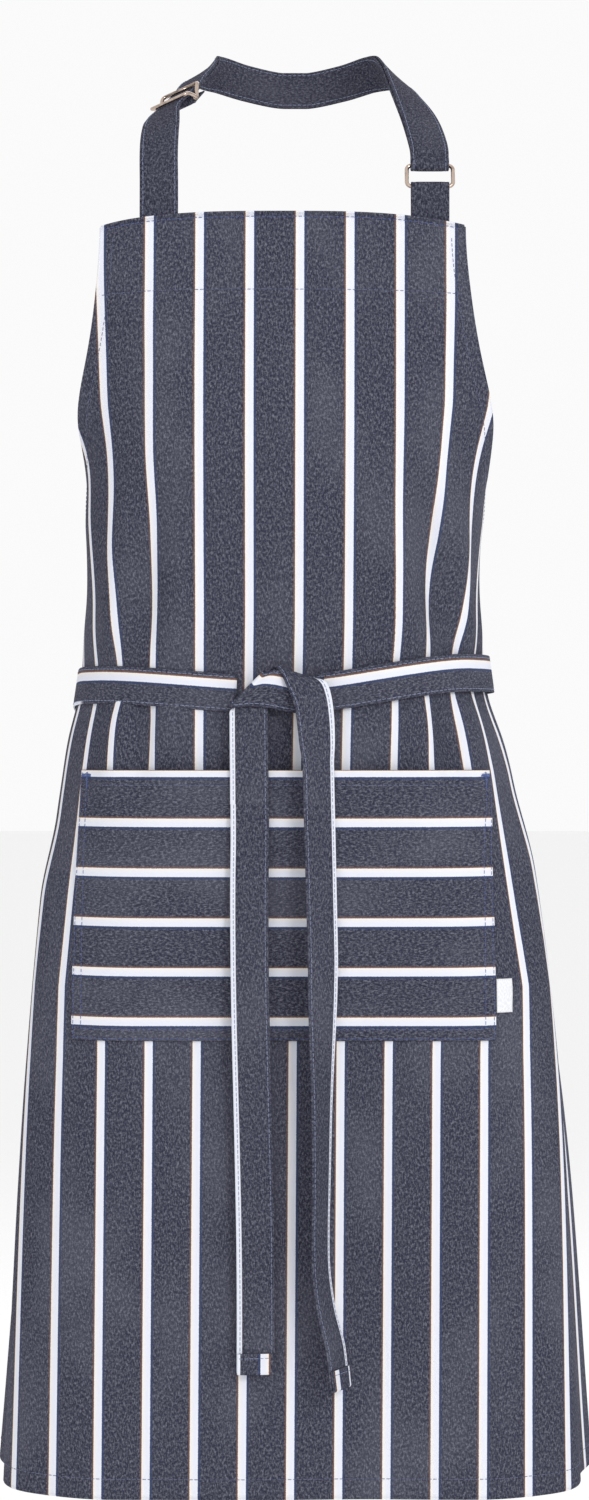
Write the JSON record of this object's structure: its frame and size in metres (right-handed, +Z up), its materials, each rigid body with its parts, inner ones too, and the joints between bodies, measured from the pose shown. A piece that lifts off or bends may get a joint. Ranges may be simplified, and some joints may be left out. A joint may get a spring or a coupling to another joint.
{
  "type": "butcher apron",
  "caption": "Striped denim bib apron as worn: adjustable neck strap with slider and ring, wide pocket, waist ties knotted in front.",
  "frame": {"origin": "where the neck strap rests on the nape, on the strap's inner face", "axes": "+Z up, -Y to the front, +X to the right as seen from the front"},
  "size_m": [0.4022, 0.2767, 0.9718],
  "materials": {
    "striped_denim": "dark indigo chambray twill with white yarn stripes",
    "pocket_denim": "the same cloth with its stripes level",
    "tie_denim": "the same cloth folded and edge stitched",
    "navy_thread": "blue polyester sewing thread",
    "label_satin": "plain woven satin ribbon",
    "nickel": "polished nickel wire"
  },
  "bodies": {
    "neck_loop": {"neck_strap": "tie_denim"},
    "slider": {"strap_slider": "nickel", "strap_end_loop": "tie_denim"},
    "ring": {"strap_ring": "nickel"},
    "apron": {"apron_panel": "striped_denim", "bib_top_facing": "striped_denim", "left_armhole_hem": "striped_denim", "right_armhole_hem": "striped_denim", "left_side_hem": "striped_denim", "right_side_hem": "striped_denim", "bottom_hem": "striped_denim", "pocket": "pocket_denim", "pocket_top_hem": "pocket_denim", "strap_sewn_end": "tie_denim", "ring_tab": "tie_denim", "left_tie_band": "tie_denim", "right_tie_band": "tie_denim", "knot_wrap": "tie_denim", "knot_over": "tie_denim", "bib_top_stitching": "navy_thread", "bib_facing_stitching": "navy_thread", "bottom_hem_stitching": "navy_thread", "pocket_mouth_stitching": "navy_thread", "pocket_edge_stitching": "navy_thread", "pocket_inner_stitching": "navy_thread"},
    "label": {"pocket_label": "label_satin"},
    "left_tail": {"left_tail_upper": "tie_denim"},
    "left_tail_end": {"left_tail_lower": "tie_denim", "left_tail_end_hem": "tie_denim"},
    "right_tail": {"right_tail_upper": "tie_denim"},
    "right_tail_end": {"right_tail_lower": "tie_denim", "right_tail_end_hem": "tie_denim"}
  },
  "joints": [
    {"name": "apron_swing", "type": "hinge", "parent": "neck_loop", "child": "apron", "pos_m": [0, -0.16773, -0.099], "axis": [-1, 0, 0], "range_deg": [-10, 25]},
    {"name": "ring_pivot", "type": "hinge", "parent": "apron", "child": "ring", "pos_m": [0.088, -0.16773, -0.099], "axis": [-1, 0, 0], "range_deg": [-25, 10]},
    {"name": "slider_slide", "type": "slide", "parent": "neck_loop", "child": "slider", "axis": [0.3563, 0.7774, 0.5183], "range_m": [-0.005, 0.012]},
    {"name": "label_flip", "type": "hinge", "parent": "apron", "child": "label", "pos_m": [0.13241, -0.15013, -0.626], "axis": [0.0104, -0.0382, -0.9992], "range_deg": [0, 110]},
    {"name": "left_tail_sway", "type": "hinge", "parent": "apron", "child": "left_tail", "pos_m": [-0.0295, -0.1742, -0.4426], "axis": [0, 1, 0], "range_deg": [-1.5, 12]},
    {"name": "left_tail_lift", "type": "hinge", "parent": "left_tail", "child": "left_tail_end", "pos_m": [-0.02789, -0.1742, -0.64], "axis": [-1, 0, 0], "range_deg": [0, 60]},
    {"name": "right_tail_sway", "type": "hinge", "parent": "apron", "child": "right_tail", "pos_m": [0.014, -0.17655, -0.4447], "axis": [0, 1, 0], "range_deg": [-12, 1.5]},
    {"name": "right_tail_lift", "type": "hinge", "parent": "right_tail", "child": "right_tail_end", "pos_m": [0.01938, -0.17655, -0.64], "axis": [-1, 0, 0], "range_deg": [0, 60]}
  ],
  "couplings": [
    {"joint": "ring_pivot", "follows": "apron_swing", "ratio": -1}
  ]
}
